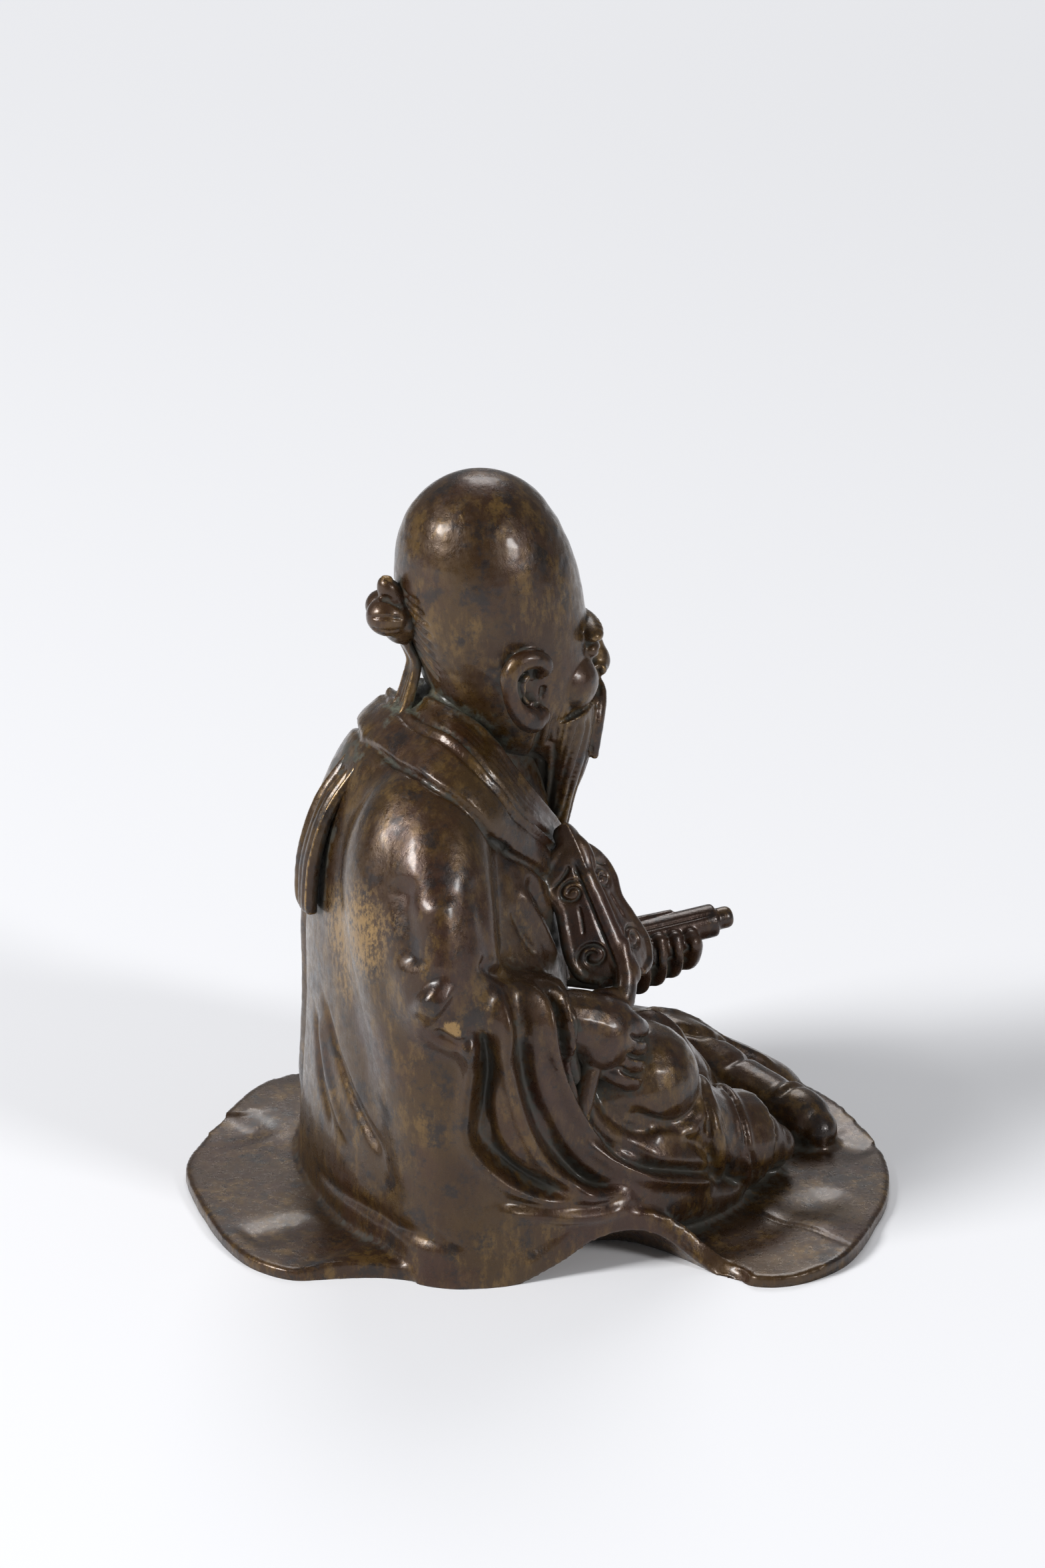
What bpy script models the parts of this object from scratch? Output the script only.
"""Seated bronze immortal on his spread robe, with a ruyi sceptre and a rolled scroll.

The figure faces -Y, its right hand is towards -X, and the floor is at Z = 0. It is one casting, so every form
is fused by a voxel remesh, softened, carved by moving vertices, thinned to the triangle budget and cut flat below.
"""
import math

import bmesh
import bpy
import numpy as np
from mathutils import Matrix, Vector
from mathutils.bvhtree import BVHTree

# Driving sizes, in metres.
HEIGHT = 0.0985
HEM_THICKNESS = 0.0015
SCROLL_RADIUS = 0.0023
SCROLL_LENGTH = 0.0175
SCROLL_PIN_RADIUS = 0.0015
SCROLL_PIN_REACH = 0.0024
LEAF_THICKNESS = 0.0009
SCEPTRE_PLATE_THICKNESS = 0.0018
SCEPTRE_HANDLE_RADIUS = 0.0014
RIBBON_THICKNESS = 0.0013
RIBBON_GAP = 0.0016

# The pose is drawn at the scale of the real figure: one unit is a share of its height.
HEIGHT_IN_UNITS = 98.5
UNIT = HEIGHT / HEIGHT_IN_UNITS

# How the casting is made into one mesh.
VOXEL = 0.0005
SOFTENING_ROUNDS = 3
ROBE_VOXEL = 0.0007
ROBE_SOFTENING_ROUNDS = 40
TRIANGLES = 9000
FLOOR_BITE = 0.0012
BRONZE_COLOUR = (0.115, 0.070, 0.038, 1.0)
BRONZE_ROUGHNESS = 0.38
BRONZE_METALLIC = 0.85

# The rim of the spread robe, right round from the back: x, y and how high the hem lifts, in units.
ROBE_RIM = [
    (12, 45.7, 0), (-4, 46.5, 0), (-15.5, 45, 0), (-22, 40.5, 0), (-23.4, 35, 0.8), (-25, 29, 0.6),
    (-28.5, 23.5, 0), (-32, 17, 0), (-32, 9, 2.6), (-32, 1.5, 6.2), (-33, -5, 6.0), (-36, -10.5, 2.0),
    (-41.5, -14.5, 0), (-43.3, -20, 0), (-41, -27, 0.3), (-37, -31.5, 0.5), (-31, -36, 0), (-24, -40.7, 0),
    (-14, -44.6, 0), (-4, -45.4, 0.4), (6, -43.8, 1.4), (16, -40.8, 0.4), (26, -35.8, 0), (33.6, -29.6, 0),
    (39, -20, 1.2), (40.5, -9, 3.0), (38.5, 1, 2.6), (38.5, 11, 0.6), (39.2, 21, 0), (35.2, 29, 0.8),
    (27.6, 36, 0.8), (20.5, 41.4, 0),
]
CLOTH_CENTRE = (0.0, 2.0)
LIFT_STARTS_AT = 0.60


def clear_scene():
    for obj in list(bpy.data.objects):
        bpy.data.objects.remove(obj)


def closed_curve(points, steps):
    """Points on the smooth closed curve through the given ones, with steps of them between each two."""
    p = np.array(points, float)
    before, after, second = np.roll(p, 1, 0), np.roll(p, -1, 0), np.roll(p, -2, 0)
    t = (np.arange(steps) / steps)[None, :, None]
    p0, p1, p2, p3 = (q[:, None, :] for q in (before, p, after, second))
    found = 0.5 * (2 * p1 + (p2 - p0) * t + (2 * p0 - 5 * p1 + 4 * p2 - p3) * t**2
                   + (3 * p1 - p0 - 3 * p2 + p3) * t**3)
    return found.reshape(-1, p.shape[1])


def open_curve(points, shares):
    """Points at these shares (0 to 1) of the smooth curve through the given ones."""
    p = np.array(points, float)
    p = np.vstack([2 * p[0] - p[1], p, 2 * p[-1] - p[-2]])
    place = np.clip(np.asarray(shares, float), 0, 1) * (len(p) - 3)
    i = np.minimum(place.astype(int), len(p) - 4)
    t = (place - i)[:, None]
    p0, p1, p2, p3 = p[i], p[i + 1], p[i + 2], p[i + 3]
    return 0.5 * (2 * p1 + (p2 - p0) * t + (2 * p0 - 5 * p1 + 4 * p2 - p3) * t**2
                  + (3 * p1 - p0 - 3 * p2 + p3) * t**3)


def smooth_step(x):
    x = np.clip(x, 0, 1)
    return x * x * (3 - 2 * x)


RIM = closed_curve(ROBE_RIM, 12)
RIM_ANGLE = np.arctan2(RIM[:, 1] - CLOTH_CENTRE[1], RIM[:, 0] - CLOTH_CENTRE[0])
RIM_ORDER = np.argsort(RIM_ANGLE)


def rim_at(angle):
    """How far the robe's rim is from its centre, and how high it lifts, in this direction, in units."""
    rim = RIM[RIM_ORDER]
    radius = np.hypot(rim[:, 0] - CLOTH_CENTRE[0], rim[:, 1] - CLOTH_CENTRE[1])
    found = [np.interp(angle, RIM_ANGLE[RIM_ORDER], values, period=2 * math.pi)
             for values in (radius, np.maximum(rim[:, 2], 0))]
    return found


def cloth_lift(x, y):
    """Height of the spread robe's underside above the floor at a point, in units."""
    dx, dy = x - CLOTH_CENTRE[0], y - CLOTH_CENTRE[1]
    rim_radius, rim_lift = rim_at(np.arctan2(dy, dx))
    share = np.hypot(dx, dy) / rim_radius
    return rim_lift * smooth_step((share - LIFT_STARTS_AT) / (1 - LIFT_STARTS_AT))


def new_object(name, mesh):
    obj = bpy.data.objects.new(name, mesh)
    bpy.context.scene.collection.objects.link(obj)
    return obj


def ball(name, centre, radii, turn=(0, 0, 0)):
    """An ellipsoid, in units, turned by degrees about X, Y and Z."""
    bm = bmesh.new()
    bmesh.ops.create_uvsphere(bm, u_segments=32, v_segments=20, radius=1)
    rotation = Matrix.Identity(4)
    for angle, axis in zip(turn, "XYZ"):
        rotation = Matrix.Rotation(math.radians(angle), 4, axis) @ rotation
    place = Matrix.Translation(Vector(centre) * UNIT) @ rotation @ Matrix.Diagonal((*(Vector(radii) * UNIT), 1))
    bm.transform(place)
    mesh = bpy.data.meshes.new(name)
    bm.to_mesh(mesh)
    bm.free()
    return new_object(name, mesh)


def loft(name, sections, across=(1, 0, 0), segments=36, rings=48, fullness=1.0):
    """A ball whose rings are pulled on to oval sections (x, y, z, half size along across, other half size), in units.

    A fullness over 1 fills the ovals out towards rounded boxes."""
    bm = bmesh.new()
    bmesh.ops.create_uvsphere(bm, u_segments=segments, v_segments=rings, radius=1)
    co = np.array([v.co for v in bm.verts])
    share = np.arccos(np.clip(-co[:, 2], -1, 1)) / math.pi
    around = np.arctan2(co[:, 1], co[:, 0])
    found = open_curve(sections, share)
    step = 1e-3
    tangent = open_curve(np.array(sections)[:, :3], share + step) - open_curve(np.array(sections)[:, :3], share - step)
    tangent /= np.linalg.norm(tangent, axis=1)[:, None]
    first = np.array(across, float) - (tangent @ np.array(across, float))[:, None] * tangent
    first /= np.linalg.norm(first, axis=1)[:, None]
    second = np.cross(tangent, first)
    at_pole = (share < 1e-6) | (share > 1 - 1e-6)
    size_a = np.where(at_pole, 0, np.maximum(found[:, 3], 0.05))
    size_b = np.where(at_pole, 0, np.maximum(found[:, 4], 0.05))
    wide = np.sign(np.cos(around)) * np.abs(np.cos(around)) ** (1 / fullness)
    deep = np.sign(np.sin(around)) * np.abs(np.sin(around)) ** (1 / fullness)
    placed = found[:, :3] + first * (size_a * wide)[:, None] + second * (size_b * deep)[:, None]
    for vertex, point in zip(bm.verts, placed * UNIT):
        vertex.co = point
    mesh = bpy.data.meshes.new(name)
    bm.to_mesh(mesh)
    bm.free()
    return new_object(name, mesh)


def round_off(end, before):
    """Places that carry a rod on past its end as half a ball."""
    way = end[:3] - before[:3]
    way = way / np.linalg.norm(way)
    angles = np.radians([20, 40, 58, 74, 86])
    out = np.outer(np.sin(angles) * end[3], way) + end[:3]
    return np.column_stack([out, np.cos(angles) * end[3]])


def rod(name, points, radii, round_end=True):
    """A curve with a bevel and round ends, thick as radii say at each of its points, in units, made a mesh."""
    curve = bpy.data.curves.new(name, "CURVE")
    curve.dimensions = "3D"
    curve.bevel_depth, curve.bevel_resolution, curve.use_fill_caps = UNIT, 4, True
    spline = curve.splines.new("POLY")
    body = open_curve([(*p, r) for p, r in zip(points, radii)], np.linspace(0, 1, 6 * len(points)))
    places = [round_off(body[0], body[1])[::-1], body]
    if round_end:
        places.append(round_off(body[-1], body[-2]))
    places = np.vstack(places)
    spline.points.add(len(places) - 1)
    for point, (x, y, z, radius) in zip(spline.points, places):
        point.co = (x * UNIT, y * UNIT, z * UNIT, 1)
        point.radius = radius
    drawn = new_object(name + "_curve", curve)
    mesh = bpy.data.meshes.new_from_object(drawn.evaluated_get(bpy.context.evaluated_depsgraph_get()))
    bpy.data.objects.remove(drawn)
    bm = bmesh.new()
    bm.from_mesh(mesh)
    bmesh.ops.remove_doubles(bm, verts=bm.verts, dist=1e-6)
    bm.to_mesh(mesh)
    bm.free()
    return new_object(name, mesh)


def spread_robe():
    """The cloth on the floor: a grid drawn round into a disc, out to the rim, and lifted, then given its thickness."""
    bm = bmesh.new()
    bmesh.ops.create_grid(bm, x_segments=130, y_segments=130, size=1)
    co = np.array([v.co for v in bm.verts])
    x = co[:, 0] * np.sqrt(1 - co[:, 1] ** 2 / 2)
    y = co[:, 1] * np.sqrt(1 - co[:, 0] ** 2 / 2)
    angle, share = np.arctan2(y, x), np.hypot(x, y)
    rim_radius = rim_at(angle)[0]
    x = CLOTH_CENTRE[0] + share * rim_radius * np.cos(angle)
    y = CLOTH_CENTRE[1] + share * rim_radius * np.sin(angle)
    for vertex, place in zip(bm.verts, np.column_stack([x, y, cloth_lift(x, y)]) * UNIT):
        vertex.co = place
    mesh = bpy.data.meshes.new("spread_robe")
    bm.to_mesh(mesh)
    bm.free()
    obj = new_object("spread_robe", mesh)
    wall = obj.modifiers.new("thickness", "SOLIDIFY")
    wall.thickness, wall.offset = HEM_THICKNESS + FLOOR_BITE, 1
    obj.location.z = -FLOOR_BITE
    return [obj]


NECK = [(0, 12, 60), (0, 9.2, 66), (0, 7.5, 72)]
NECK_RADII = [7.2, 6.6, 7.6]


def torso():
    trunk = loft("trunk", [
        (0, 12, -1, 33, 25), (0, 12.6, 1.5, 30.5, 21), (0, 13.4, 4.5, 28, 18.2), (0, 14, 9, 26.6, 17),
        (0, 14.2, 16, 25.4, 16.4), (0, 14.3, 26, 24, 15.9), (0, 14.5, 36, 22.6, 15.6), (0, 14.8, 45, 21, 14.6),
        (0, 14.8, 52, 19, 13.4), (0, 14.5, 57.5, 16.4, 11.4), (0, 13.5, 61.5, 12.4, 9.4), (0, 12, 64.5, 8.8, 7.6),
        (0, 10.6, 67, 6, 5.6)], segments=64, rings=72, fullness=1.18)
    neck = rod("neck", NECK, NECK_RADII)
    chest = loft("chest", [
        (0, 8, 36, 9, 6), (0, 6.8, 42, 11.5, 8), (0, 6.6, 48, 12.5, 7.6), (0, 7, 54, 12, 7.4), (0, 7, 59, 9, 6.6),
        (0, 7, 63, 6, 6)])
    lap = loft("lap", [
        (0, 6, -1, 22, 14), (0, 2, 6, 21, 14), (0, 0, 13, 18, 12), (0, 2, 19, 13, 10), (0, 5, 24, 8, 7)])
    return [trunk, neck, chest, lap]


def right_back():
    """The robe between the back and the right arm, from the shoulder down to its flare on the floor."""
    shoulder = loft("right_shoulder_back", [
        (-9, 17.5, 60, 5.4, 5.4), (-12.5, 18.6, 57, 7.6, 7.2), (-15.4, 19.8, 51, 9.2, 8.2),
        (-17.2, 19.8, 43, 10, 8.6), (-18.2, 18.8, 34, 10, 8.6), (-18.8, 17.6, 24, 10.2, 9.2),
        (-19.4, 16.2, 13, 10.6, 10.6), (-20, 14.8, 5, 11.4, 12.8), (-20, 14, 0, 12.8, 15.2)],
        segments=48, rings=56, fullness=1.15)
    return [shoulder]


def upper_arm(side):
    """From the shoulder to the elbow and along to the wrist, inside the sleeve."""
    right = [(-11, 16.5, 59, 5.6, 5.6), (-16.4, 19, 56, 6.8, 6.8), (-20.8, 20.2, 50, 7.2, 7.2),
             (-23.4, 20.4, 43, 7.2, 7.2), (-24.6, 19.6, 37, 6.8, 7), (-25.2, 15, 34.2, 6.4, 6.4),
             (-25.3, 9, 33, 6.2, 5.9), (-24.8, 4.4, 32.8, 6.2, 5.6)]
    left = [(11, 15, 58.5, 5.6, 5.6), (15.6, 15.2, 55, 6.6, 6.6), (19.4, 15.6, 50, 7, 7),
            (22, 15.6, 43, 7.2, 7.2), (23.4, 13.4, 36.5, 7, 7), (22.5, 7, 32.5, 6.4, 6.4),
            (19.6, -0.5, 29.5, 5.8, 5.8), (16.5, -7, 27, 5.2, 5.2)]
    return loft(side + "_arm", right if side == "right" else left, across=(0.3, 0.2, 0.93))


def right_sleeve():
    """The wide sleeve that falls from the right forearm to the floor and trails forward."""
    fall = loft("right_sleeve_fall", [
        (-25, 11.5, 37.5, 3, 6.5), (-25.3, 12, 35, 4.8, 8), (-25, 12, 31, 5.6, 8.6), (-24.5, 11.5, 24, 6.2, 9.6),
        (-24.3, 10, 16, 6.3, 11.8), (-24.3, 7, 9, 6.8, 15), (-24, 3.5, 4, 7.6, 19), (-24, 1.5, 0, 7.6, 20)],
        segments=64, rings=56)
    trail = loft("right_sleeve_trail", [
        (-27, 8, 9, 5, 5), (-27.5, 1, 9, 4.6, 5.4), (-26.5, -6, 7, 4.2, 4.6), (-24, -12.5, 4.8, 3.6, 3.6),
        (-21.5, -17.5, 3.6, 2.8, 2.7), (-19.5, -20.8, 3.2, 2.2, 2.2), (-18.2, -22.8, 2.6, 0.8, 0.8)])
    return [fall, trail]


def left_sleeve():
    """The left sleeve, which hangs from the raised forearm on to the thigh."""
    fall = loft("left_sleeve_fall", [
        (24, 11, 37, 3, 6), (24.5, 10, 34, 5, 8.5), (24.5, 8, 28, 5.8, 11), (24.5, 6, 20, 6.4, 12.5),
        (25, 5, 12, 7.2, 15), (25.5, 3.5, 5, 8, 18), (26, 2.5, 0, 8, 19)], segments=64, rings=56)
    cuff = loft("left_cuff", [
        (19.5, 0, 28, 4.6, 5.4), (17.5, -4.5, 26.5, 4.4, 5.6), (15.6, -9, 25.2, 4, 5.4), (14.9, -11, 24.8, 3.4, 4.8)],
        across=(1, 0, 0))
    tip = loft("left_cuff_tip", [
        (20, -2, 25, 4, 5), (18.5, -5, 20, 3, 5), (18, -7, 15.5, 2.2, 4), (18, -8.5, 12, 1.2, 2.4)])
    return [fall, cuff, tip]


def legs():
    right_thigh = rod("right_thigh", [(-10, 12, 11), (-15, 4, 16), (-18.5, -3.5, 20), (-19.8, -7.2, 20.8)],
                      [9, 8.6, 8.2, 7.8])
    right_shin = rod("right_shin", [(-19.6, -8, 18.5), (-18.6, -13, 13.5), (-16.6, -18, 9.5), (-15.2, -21.6, 8.2),
                                    (-14.4, -23.6, 7.6)], [7, 6.5, 6.4, 6.8, 6.7], round_end=False)
    right_shoe = rod("right_shoe", [(-14.2, -21, 6.6), (-13.2, -25, 6.4), (-12.7, -27, 5.8), (-12.4, -28.6, 5.2)],
                     [4.8, 4.8, 4.3, 3.2])
    left_thigh = rod("left_thigh", [(10, 12, 11), (17, 3, 11.5), (21, -8, 9.6), (20, -17, 7.4)], [9.4, 8.4, 6.8, 5.2])
    left_shin = rod("left_shin", [(19.5, -17, 8), (14, -24.5, 7.5), (7, -30, 5.6), (1, -34, 4.4)], [6.4, 6, 4.8, 4.2])
    left_shoe = rod("left_shoe", [(2, -33, 4), (-2, -35.4, 4.2), (-4.6, -36.8, 3.8), (-6, -37.6, 3.4)],
                    [4, 4.4, 4.1, 3.2])
    left_fold = loft("left_knee_fold", [
        (18, -18, 8, 6.6, 4.4), (16.5, -25, 7, 6, 4.6), (14.5, -32, 5, 5, 4), (12.5, -39, 2.6, 4, 2.6),
        (11.5, -42, 1.6, 2, 1)], across=(1, 0, 0))
    apron = loft("lap_cloth", [
        (0, 0, 18, 13, 6), (0, -7, 16.5, 14, 6), (0.5, -13.5, 13, 14, 5.4), (1.5, -19.5, 9, 12.5, 4.4),
        (2.5, -25, 4.6, 10.5, 3.4), (3, -28.5, 1.6, 8, 2)], across=(1, 0, 0), fullness=1.2)
    first_fold = rod("lap_fold_near", [(-8, -4, 21), (-5, -11, 20.5), (-2.5, -16.5, 17.5), (-1, -21, 12.5),
                                       (-1, -24, 7)], [3, 3, 2.7, 2.4, 1.6])
    second_fold = rod("lap_fold_far", [(-1, -4, 20), (1, -11, 18.5), (2.5, -17, 15.5), (3, -22.5, 11), (3, -26, 5)],
                      [3.2, 3, 2.8, 2.4, 1.6])
    third_fold = rod("lap_fold_left", [(7, -3, 20), (9, -9, 17.5), (11, -15, 14), (12, -20, 10)], [3.4, 3.2, 3, 2.4])
    return [right_thigh, right_shin, right_shoe, left_thigh, left_shin, left_shoe, left_fold, apron,
            first_fold, second_fold, third_fold]


def head():
    skull = loft("skull", [
        (0, 4, 60.5, 4, 5), (0, 3.7, 63, 7.6, 8.2), (0, 3.6, 67, 9.6, 9.9), (0, 4.1, 71.5, 10.7, 10.8),
        (0, 5.1, 76, 11.3, 11.3), (0, 6.2, 80, 11.6, 11.7), (0, 7.2, 84, 11.6, 11.8), (0, 7.8, 88, 11.1, 11.2),
        (0, 8, 91.5, 10.0, 10.1), (0, 8, 94.4, 8.3, 8.4), (0, 8, 96.6, 6.0, 6.1), (0, 8, 98, 3.3, 3.3),
        (0, 8, 98.5, 0.4, 0.4)], segments=64, rings=64)
    forms = [skull]
    for side in (-1, 1):
        forms += [
            ball("brow", (4.1 * side, -5.0, 78.0), (4.3, 1.9, 1.4), (0, 9 * side, 0)),
            ball("eyelid", (4.4 * side, -4.9, 75.2), (2.7, 1.7, 1.45)),
            ball("cheek", (6.0 * side, -2.7, 71.2), (3.8, 3.9, 3.6)),
            ball("nostril", (1.45 * side, -7.5, 70.9), (1.15, 1.3, 1.0)),
            rod("moustache", [(0.7 * side, -7.5, 69.2), (2.8 * side, -7.2, 68), (4.8 * side, -6.3, 65),
                              (5.4 * side, -5.8, 60.5)], [0.8, 1.1, 1.0, 0.5]),
        ]
    nose = loft("nose", [(0, -5.4, 78.5, 1.3, 1.2), (0, -6.3, 76, 1.2, 1.5), (0, -7.3, 73.3, 1.35, 1.6),
                         (0, -8.0, 71.4, 1.6, 1.7), (0, -7.6, 70.3, 1.1, 1.1)])
    lips = ball("lips", (0, -6.8, 67.6), (2.4, 1.4, 1.0))
    return forms + [nose, lips]


def ear(side):
    helix = rod("ear_helix", [(-11.7, 3.2, 76.2), (-12.5, 4.6, 77.3), (-12.7, 7.0, 77.3), (-12.5, 8.3, 75.4),
                              (-12.2, 7.9, 72.4), (-11.9, 6.4, 69.9), (-11.5, 4.5, 68.7), (-11, 3.1, 69.6)],
                [1.1, 1.5, 1.6, 1.55, 1.5, 1.6, 1.8, 1.2])
    tragus = ball("tragus", (-11.6, 3.3, 73), (1.0, 1.1, 1.7))
    if side == "left":
        for obj in (helix, tragus):
            obj.scale.x = -1
    return [helix, tragus]


def beard():
    return loft("beard", [
        (0, -0.6, 67, 9.2, 6.6), (0, -1.4, 63.5, 8.4, 5.9), (0, -1.6, 59.5, 7, 4.7), (0, -1.5, 55.5, 5.4, 3.6),
        (0, -1.7, 52, 3.9, 2.7), (0, -1.9, 49, 2.4, 1.9), (0, -2, 47, 0.8, 0.8)], segments=48)


def hair_knot():
    knot = ball("hair_knot", (-1.2, 20.6, 80.8), (2.6, 2.9, 2.6))
    far_knot = ball("hair_knot_far", (2.6, 20.0, 81), (2.3, 2.5, 2.2))
    tie = ball("hair_tie", (-0.6, 20.4, 84.2), (1.5, 1.4, 1.7))
    root = ball("hair_root", (0, 18.6, 80), (3.2, 2.6, 3.4))
    half = RIBBON_THICKNESS / UNIT / 2
    clear_of_neck = NECK[-1][1] + NECK_RADII[-1] + RIBBON_GAP / UNIT + half
    near_tail = loft("ribbon", [
        (0, 19.2, 79.5, 1.4, 1), (0, 17.9, 76.5, 1.7, half), (0, 16.8, 74, 1.7, half),
        (0, clear_of_neck, 71.2, 1.9, half), (-0.2, 18.5, 67.6, 2.4, half), (-0.4, 21.4, 64.2, 3.0, half),
        (-0.6, 25.3, 60.2, 3.4, half), (-0.6, 28.8, 55, 3.6, half * 1.3), (-0.6, 30.6, 49, 3.7, half * 1.6),
        (-0.6, 31.3, 43.4, 3.5, half * 1.6), (-0.6, 31.2, 41.4, 3.1, half * 1.4)], fullness=1.3)
    far_tail = loft("ribbon_far_tail", [
        (1.5, 21.6, 64, 2, half), (3.4, 24.2, 60.6, 2.3, half), (5.0, 26.0, 57.4, 2.5, half),
        (6.2, 27.0, 54.6, 2.2, half), (7.0, 27.2, 52.6, 1.2, half)])
    return [knot, far_knot, tie, root, near_tail, far_tail]


def right_hand():
    """The hand on the knee, back of it outwards, with four fingers bent round the sceptre's handle."""
    forms = [ball("right_palm", (-24.8, 1.2, 31.8), (4.3, 5.4, 4.9)),
             rod("right_wrist", [(-25, 7, 32.6), (-25, 3, 32.2)], [4.6, 4.6])]
    for i in range(4):
        z = 34.4 - 2.3 * i
        forms.append(rod(f"right_finger_{i}", [
            (-27, 0, z), (-27, -2.6, z - 0.4), (-25.4, -4.8 + 0.3 * i, z - 1.2),
            (-22.4, -5.4 + 0.4 * i, z - 1.9)], [1.7, 1.6, 1.4, 1.15]))
    forms.append(rod("right_thumb", [(-23, 0.6, 35), (-22, -2.6, 35), (-21, -5, 34.4)], [1.6, 1.4, 1.1]))
    return forms


def left_hand():
    """The palm-up hand with four fingers curled up round the scroll."""
    forms = [ball("left_palm", (13.6, -18.6, 22.2), (3.6, 6.2, 2.7), (-12, 0, 0)),
             rod("left_wrist", [(15.4, -8, 23.6), (14.4, -14, 22)], [3.4, 3])]
    for i in range(4):
        y, z = -17.9 - 2.35 * i, 21.2 + 0.95 * i
        forms.append(rod(f"left_finger_{i}", [
            (13.2, y, z), (10.6, y - 0.2, z + 0.1), (8.9, y - 0.3, z + 2.6), (9.2, y - 0.3, 27.6)],
            [1.5, 1.45, 1.3, 1.05]))
    forms.append(rod("left_thumb", [(15.8, -16, 23), (16.2, -19.5, 25), (15.2, -21.8, 27)], [1.6, 1.4, 1.1]))
    return forms


SCROLL_START = Vector((12.2, -11.9, 26.1))
SCROLL_DIRECTION = Vector((-0.01, -1.0, 0.125)).normalized()


def cylinder_along(name, start, end, radius, bevel):
    """A round bar with eased ends, in metres."""
    span = end - start
    bm = bmesh.new()
    bmesh.ops.create_cone(bm, cap_ends=True, segments=32, radius1=radius, radius2=radius, depth=span.length)
    bm.transform(Matrix.Translation((start + end) / 2) @ span.to_track_quat("Z", "Y").to_matrix().to_4x4())
    mesh = bpy.data.meshes.new(name)
    bm.to_mesh(mesh)
    bm.free()
    obj = new_object(name, mesh)
    ease = obj.modifiers.new("eased_ends", "BEVEL")
    ease.width, ease.segments, ease.limit_method = bevel, 3, "ANGLE"
    return obj


def scroll():
    start = SCROLL_START * UNIT
    end = start + SCROLL_DIRECTION * SCROLL_LENGTH
    roll = cylinder_along("scroll_roll", start, end, SCROLL_RADIUS, SCROLL_RADIUS * 0.25)
    pin = cylinder_along("scroll_pin", start - SCROLL_DIRECTION * SCROLL_PIN_REACH * 0.6,
                         end + SCROLL_DIRECTION * SCROLL_PIN_REACH, SCROLL_PIN_RADIUS, SCROLL_PIN_RADIUS * 0.6)
    half = LEAF_THICKNESS / UNIT / 2
    leaf = loft("scroll_leaf", [
        (14.2, -9.5, 27.6, 2.4, half), (14.4, -13, 28.3, 2.6, half), (14.4, -18.5, 29.1, 2.6, half),
        (14.2, -24, 29.9, 2.2, half)])
    return [roll, pin, leaf]


# The sceptre's cloud-shaped head along its middle rib, from the handle up: place and half width, in units.
CLOUD = [
    (-20.3, -5.2, 35.9, 3.6), (-19.8, -5.0, 36.9, 5.4), (-18.9, -4.6, 39.4, 6.1), (-17.7, -3.5, 42.2, 5.4),
    (-16.4, -2.5, 44.8, 4.7), (-15.4, -1.7, 47.2, 5.3), (-14.5, -1.0, 49.1, 5.0), (-13.9, -0.6, 50.6, 3.4),
    (-13.5, -0.3, 51.5, 2.0), (-13.0, 0.1, 52.6, 1.8), (-12.5, 0.8, 53.6, 1.3), (-12.2, 1.2, 54.1, 0.5)]
CLOUD_ACROSS = Vector((0.21, -0.98, 0.0))
CLOUD_SWEEP = math.radians(30)


def sceptre():
    """The plate folded back on both sides of its rib, and the handle that runs down through the hand."""
    half = SCEPTRE_PLATE_THICKNESS / UNIT / 2
    plate = loft("sceptre_plate", [(*row, half) for row in CLOUD], across=CLOUD_ACROSS, segments=40, rings=64,
                 fullness=1.5)
    bottom, top = Vector(CLOUD[1][:3]), Vector(CLOUD[9][:3])
    axis = (top - bottom).normalized()
    across = (CLOUD_ACROSS - CLOUD_ACROSS.dot(axis) * axis).normalized()
    facing = across.cross(axis)
    for vertex in plate.data.vertices:
        away = (vertex.co / UNIT - bottom).dot(across)
        vertex.co -= facing * math.tan(CLOUD_SWEEP) * abs(away) * UNIT * math.copysign(1, facing.x * -1)
    r = SCEPTRE_HANDLE_RADIUS / UNIT
    handle = rod("sceptre_handle", [
        (-27.6, 3.6, 18.8), (-27.4, 3.0, 22.4), (-25.8, 1.0, 27.4), (-23.4, -2.4, 31.4), (-21.2, -4.6, 34.6),
        (-18.9, -4.8, 39.4), (-15.6, -2.0, 47), (-13.4, -0.2, 52)],
        [r * 0.75, r, r * 1.1, r * 1.15, r * 1.1, r * 0.95, r * 0.9, r * 1.1])
    tip = ball("sceptre_tip", (-13.0, -0.1, 52.2), (1.9, 1.9, 1.9))
    return [plate, handle, tip]


def collar():
    """The robe's neck bands. The left one crosses over the right one on the chest and runs on to the lap."""
    bands = []
    for side in (-1, 1):
        middle = [(0, 18.4, 66.4), (-6.6, 17.2, 65), (-11.8, 13.8, 61.6), (-14, 8.8, 57), (-13.2, 4.4, 52),
                  (-9.6, 0.6, 46), (-4.4, -1.2, 40)]
        widths = [3.2, 3.6, 3.9, 4, 3.8, 3.4, 3]
        if side == 1:
            middle += [(1.5, -1.9, 33.5), (7, -1.9, 27)]
            widths += [2.8, 2.6]
        else:
            middle += [(-1.5, -1.2, 36.5)]
            widths += [1.6]
        path = [(-side * x, y + 0.15 * side, z) for x, y, z in middle]
        bands.append(loft("collar_band", [(*p, a, 0.9) for p, a in zip(path, widths)],
                          across=(0.35 * side, -0.45, 0.82)))
    return bands


def evaluated_copy(objects):
    """One bmesh with every object's finished surface in it, in metres."""
    bpy.context.view_layer.update()
    depsgraph = bpy.context.evaluated_depsgraph_get()
    joined = bmesh.new()
    for obj in objects:
        seen = obj.evaluated_get(depsgraph)
        mesh = bpy.data.meshes.new_from_object(seen)
        mesh.transform(obj.matrix_world)
        joined.from_mesh(mesh)
        bpy.data.meshes.remove(mesh)
    return joined


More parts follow.
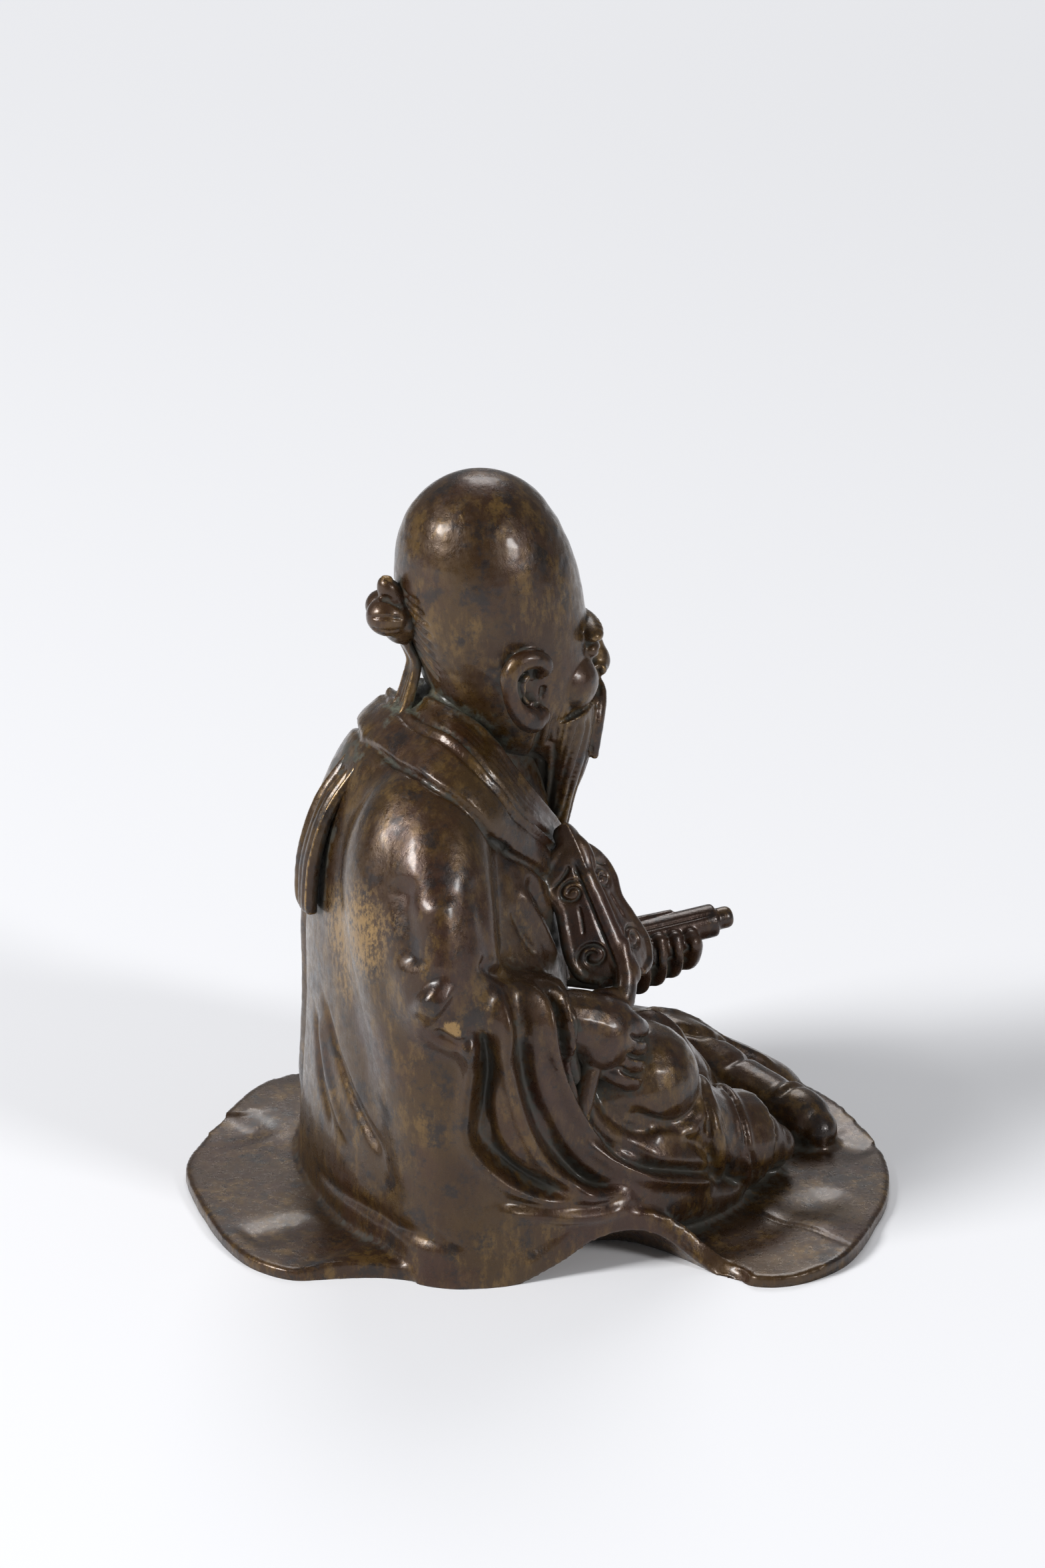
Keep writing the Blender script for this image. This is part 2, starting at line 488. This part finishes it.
def rest_on_cloth(objects):
    """Lift whatever would come through the underside of the raised hem on to the middle of the cloth."""
    for obj in objects:
        if obj.type != "MESH" or obj.name.startswith("spread_robe"):
            continue
        co = np.array([v.co for v in obj.data.vertices]) / UNIT
        lift = cloth_lift(co[:, 0], co[:, 1])
        lowest = np.where(lift > 0.15, lift + 0.5 * HEM_THICKNESS / UNIT, -FLOOR_BITE / UNIT)
        for vertex, height, floor in zip(obj.data.vertices, co[:, 2], lowest):
            vertex.co.z = max(height, floor) * UNIT


def fuse(objects, name, voxel, rounds):
    """One closed skin over all the forms, with the creases where they meet softened."""
    bm = evaluated_copy(objects)
    mesh = bpy.data.meshes.new(name)
    bm.to_mesh(mesh)
    bm.free()
    for obj in objects:
        bpy.data.objects.remove(obj)
    cast = new_object(name, mesh)
    skin = cast.modifiers.new("fuse", "REMESH")
    skin.mode, skin.voxel_size, skin.adaptivity = "VOXEL", voxel, 0
    soften = cast.modifiers.new("soften", "SMOOTH")
    soften.factor, soften.iterations = 0.5, rounds
    bake(cast)
    return cast


def bake(obj):
    """Make the modifiers' result the object's own mesh."""
    bpy.context.view_layer.update()
    mesh = bpy.data.meshes.new_from_object(obj.evaluated_get(bpy.context.evaluated_depsgraph_get()))
    old = obj.data
    obj.modifiers.clear()
    obj.data = mesh
    bpy.data.meshes.remove(old)


# Folds and edges drawn on the casting. Each stroke is cast on to it along its direction, then pressed in or raised:
# direction, half width, height (below zero is a groove), points, all in units.
FROM_RIGHT = (1, 0, 0)
FROM_LEFT = (-1, 0, 0)
FROM_BACK = (0, -1, 0)
FROM_FRONT = (0, 1, 0)
FROM_ABOVE = (0, 0, -1)
FROM_RIGHT_BACK = (0.8, -0.6, 0)
STROKES = [
    ("sleeve fold 1", FROM_RIGHT, 1.2, -0.9, [(-60, 15.9, 34), (-60, 14.6, 28), (-60, 15.5, 21), (-60, 12.6, 14),
                                              (-60, 5.3, 9.3), (-60, -4, 7)]),
    ("sleeve fold 2", FROM_RIGHT, 1.2, -0.9, [(-60, 9.2, 32), (-60, 9.9, 25), (-60, 8.4, 17.5), (-60, 3.8, 12),
                                              (-60, -2.5, 9)]),
    ("sleeve fold 3", FROM_RIGHT, 1.1, -0.8, [(-60, 20, 33), (-60, 20.5, 26), (-60, 20, 18), (-60, 17, 11),
                                              (-60, 10, 6)]),
    ("sleeve ridge 1", FROM_RIGHT, 1.3, 0.7, [(-60, 12.6, 33), (-60, 12.4, 25), (-60, 11.4, 18), (-60, 6.5, 11.5),
                                              (-60, -1, 8.2)]),
    ("sleeve ridge 2", FROM_RIGHT, 1.2, 0.7, [(-60, 18.2, 32), (-60, 18, 24), (-60, 16.8, 16), (-60, 11, 9.5),
                                              (-60, 4, 6.5)]),
    ("front edge", FROM_RIGHT, 1.0, 0.7, [(-60, 5.4, 36), (-60, 5, 28), (-60, 1.4, 19), (-60, -5.5, 11.6),
                                          (-60, -13, 6.8)]),
    ("arm fold 1", FROM_RIGHT, 1.1, -0.7, [(-60, 16, 58), (-60, 17, 50), (-60, 17.5, 43), (-60, 15, 37)]),
    ("arm fold 2", FROM_RIGHT, 1.1, -0.7, [(-60, 20, 57), (-60, 21.5, 49), (-60, 22, 41.5)]),
    ("arm fold 3", FROM_RIGHT_BACK, 1.1, -0.6, [(-40, 30, 55), (-41, 30.5, 47), (-41, 30, 41)]),
    ("back fold 1", FROM_BACK, 1.3, -0.8, [(-9, 60, 40), (-10.5, 60, 28), (-12, 60, 16), (-13.5, 60, 7)]),
    ("back fold 2", FROM_BACK, 1.3, -0.8, [(10, 60, 44), (11, 60, 30), (12.5, 60, 16), (14, 60, 7)]),
    ("back fold 3", FROM_BACK, 1.3, -0.7, [(-17, 60, 36), (-18.5, 60, 26), (-20, 60, 15)]),
    ("back fold 4", FROM_BACK, 1.3, -0.7, [(18, 60, 38), (19.5, 60, 26), (21, 60, 15)]),
    ("left sleeve fold 1", FROM_LEFT, 1.2, -0.9, [(60, 14, 35), (60, 14, 26), (60, 13, 16), (60, 9, 8)]),
    ("left sleeve fold 2", FROM_LEFT, 1.2, -0.9, [(60, 8, 33), (60, 7.5, 25), (60, 6, 16), (60, 1, 8)]),
    ("left sleeve fold 3", FROM_LEFT, 1.2, -0.8, [(60, 2, 31), (60, 1, 23), (60, -2, 14), (60, -8, 7)]),
    ("left arm fold", FROM_LEFT, 1.1, -0.7, [(60, 17, 57), (60, 18, 49), (60, 18, 41)]),
    ("knee crease", FROM_RIGHT, 1.0, -0.9, [(-60, -1, 15.5), (-60, -6, 15.6), (-60, -11, 17.6), (-60, -14, 20)]),
    ("hem band behind", FROM_RIGHT, 0.5, -0.5, [(-60, -16.5, 15.5), (-60, -18.2, 11), (-60, -18.6, 5.5)]),
    ("hem band front", FROM_RIGHT, 0.5, -0.5, [(-60, -19.8, 14.6), (-60, -21.3, 10.5), (-60, -21.7, 5)]),
    ("ribbon groove", FROM_BACK, 0.7, -0.45, [(-0.5, 60, 61), (-0.6, 60, 55), (-0.6, 60, 48), (-0.6, 60, 43)]),
    ("robe fold 1", FROM_ABOVE, 1.4, -0.7, [(-34, -10, 60), (-30, -20, 60), (-25, -28, 60), (-22, -36, 60)]),
    ("robe fold 2", FROM_ABOVE, 1.3, -0.6, [(-4, -30, 60), (-8, -38, 60), (-12, -43, 60)]),
    ("robe fold 3", FROM_ABOVE, 1.4, -0.6, [(18, 33, 60), (24, 36, 60), (28, 37, 60)]),
    ("robe fold 4", FROM_ABOVE, 1.4, -0.6, [(-8, 33, 60), (-10, 40, 60), (-11, 44, 60)]),
    ("robe fold 5", FROM_ABOVE, 1.4, -0.6, [(31, 8, 60), (35, 6, 60), (38, 5, 60)]),
    ("robe fold 6", FROM_ABOVE, 1.4, -0.6, [(26, -24, 60), (31, -28, 60), (34, -30, 60)]),
    ("lap fold 1", FROM_FRONT, 1.6, -1.3, [(-8, -60, 21), (-6.5, -60, 16), (-5, -60, 11)]),
    ("lap fold 2", FROM_FRONT, 1.6, -1.3, [(0, -60, 22), (0.5, -60, 16), (0.6, -60, 10.5)]),
    ("lap fold 3", FROM_FRONT, 1.6, -1.2, [(6, -60, 22), (6.5, -60, 16), (7, -60, 10.5)]),
    ("lap ridge 1", FROM_FRONT, 1.4, 0.9, [(-4, -60, 21), (-3, -60, 16), (-2.4, -60, 10.5)]),
    ("lap ridge 2", FROM_FRONT, 1.4, 0.9, [(3, -60, 22), (3.6, -60, 16), (4, -60, 10.5)]),
    ("collar edge in", FROM_FRONT, 0.6, -0.6, [(-9, -40, 60), (-7, -40, 52), (-3, -40, 44)]),
]


def cast_on(tree, points, direction):
    """The stroke's points carried along the direction on to the surface, close together."""
    found = []
    way = Vector(direction).normalized()
    for point in open_curve(points, np.linspace(0, 1, 40)):
        start = Vector(point) * UNIT - way * 0.02
        hit = tree.ray_cast(start, way)[0]
        if hit is not None:
            found.append(hit)
    return np.array(found)


def carve(cast):
    """Press each stroke into the casting, or raise it, along the surface's own direction."""
    bm = bmesh.new()
    bm.from_mesh(cast.data)
    bm.normal_update()
    tree = BVHTree.FromBMesh(bm)
    co = np.array([v.co for v in bm.verts])
    normal = np.array([v.normal for v in bm.verts])
    moved = np.zeros(len(co))
    for name, direction, half_width, height, points in STROKES:
        line = cast_on(tree, points, direction)
        reach = 2.6 * half_width * UNIT
        near = np.all((co > line.min(0) - reach) & (co < line.max(0) + reach), axis=1)
        gap = np.linalg.norm(co[near][:, None, :] - line[None, :, :], axis=2).min(1)
        moved[near] += height * UNIT * np.exp(-(gap / (half_width * UNIT)) ** 2)
    co += normal * moved[:, None]
    for vertex, place in zip(bm.verts, co):
        vertex.co = place
    bm.to_mesh(cast.data)
    bm.free()


def finish(cast, cutters):
    """Thin to the triangle budget, cut the underside flat, then bring it to its height over the frame's origin."""
    thin = cast.modifiers.new("thin", "DECIMATE")
    triangles = sum(len(p.vertices) - 2 for p in cast.data.polygons)
    thin.ratio = TRIANGLES / triangles
    bake(cast)
    bm = bmesh.new()
    bmesh.ops.create_cube(bm, size=1)
    bm.transform(Matrix.Translation((0, 0, -0.5 * 0.02)) @ Matrix.Diagonal((2 * HEIGHT, 2 * HEIGHT, 0.02, 1)))
    mesh = bpy.data.meshes.new("below_floor")
    bm.to_mesh(mesh)
    bm.free()
    below = bpy.data.objects.new("below_floor", mesh)
    cutters.objects.link(below)
    below.hide_render = True
    below.display_type = "WIRE"
    cut = cast.modifiers.new("flat_underside", "BOOLEAN")
    cut.operation, cut.solver, cut.object = "DIFFERENCE", "EXACT", below
    bake(cast)
    bm = bmesh.new()
    bm.from_mesh(cast.data)
    bmesh.ops.dissolve_degenerate(bm, edges=bm.edges, dist=1e-6)
    bmesh.ops.triangulate(bm, faces=bm.faces)
    co = np.array([v.co for v in bm.verts])
    low, high = co.min(0), co.max(0)
    shift = Vector((-(low[0] + high[0]) / 2, -(low[1] + high[1]) / 2, 0))
    bm.transform(Matrix.Diagonal((1, 1, HEIGHT / high[2], 1)) @ Matrix.Translation(shift))
    keep_largest(bm)
    bm.to_mesh(cast.data)
    bm.free()
    print("shift to the middle of the outline, mm:", [round(1000 * v, 3) for v in shift])


def bodies(bm):
    """The connected groups of faces."""
    left, found = set(bm.faces), []
    while left:
        group, queue = set(), [left.pop()]
        while queue:
            face = queue.pop()
            group.add(face)
            for edge in face.edges:
                for other in edge.link_faces:
                    if other in left:
                        left.remove(other)
                        queue.append(other)
        found.append(group)
    return sorted(found, key=len, reverse=True)


def keep_largest(bm):
    for group in bodies(bm)[1:]:
        print("loose crumb taken away, faces:", len(group))
        bmesh.ops.delete(bm, geom=list(group), context="FACES")


def check_closed(obj):
    bm = bmesh.new()
    bm.from_mesh(obj.data)
    open_edges = [e for e in bm.edges if len(e.link_faces) != 2]
    groups = bodies(bm)
    volume = bm.calc_volume(signed=True)
    print(obj.name, "triangles", len(bm.faces), "bodies", len(groups), "edges not between two faces",
          len(open_edges), "volume cm3", round(volume * 1e6, 2))
    bm.free()
    if open_edges or len(groups) != 1 or volume <= 0:
        raise RuntimeError("the casting isn't one closed body")


def bronze():
    material = bpy.data.materials.new("bronze")
    material.use_nodes = True
    shader = material.node_tree.nodes["Principled BSDF"]
    shader.inputs["Base Color"].default_value = BRONZE_COLOUR
    shader.inputs["Roughness"].default_value = BRONZE_ROUGHNESS
    shader.inputs["Metallic"].default_value = BRONZE_METALLIC
    return material


def main():
    clear_scene()
    collection = bpy.data.collections.new("seated_immortal_figure")
    cutters = bpy.data.collections.new("cutters")
    bpy.context.scene.collection.children.link(collection)
    bpy.context.scene.collection.children.link(cutters)
    robe = torso() + right_back() + [upper_arm("right"), upper_arm("left")] + right_sleeve() + left_sleeve()
    robe = fuse(robe, "robe", ROBE_VOXEL, ROBE_SOFTENING_ROUNDS)
    forms = [robe] + spread_robe() + legs() + head() + ear("right") + ear("left") + [beard()] + hair_knot()
    forms += right_hand() + left_hand() + scroll() + sceptre() + collar()
    rest_on_cloth(forms)
    cast = fuse(forms, "seated_immortal", VOXEL, SOFTENING_ROUNDS)
    carve(cast)
    finish(cast, cutters)
    bpy.context.scene.collection.objects.unlink(cast)
    collection.objects.link(cast)
    cast.data.materials.clear()
    cast.data.materials.append(bronze())
    check_closed(cast)


main()
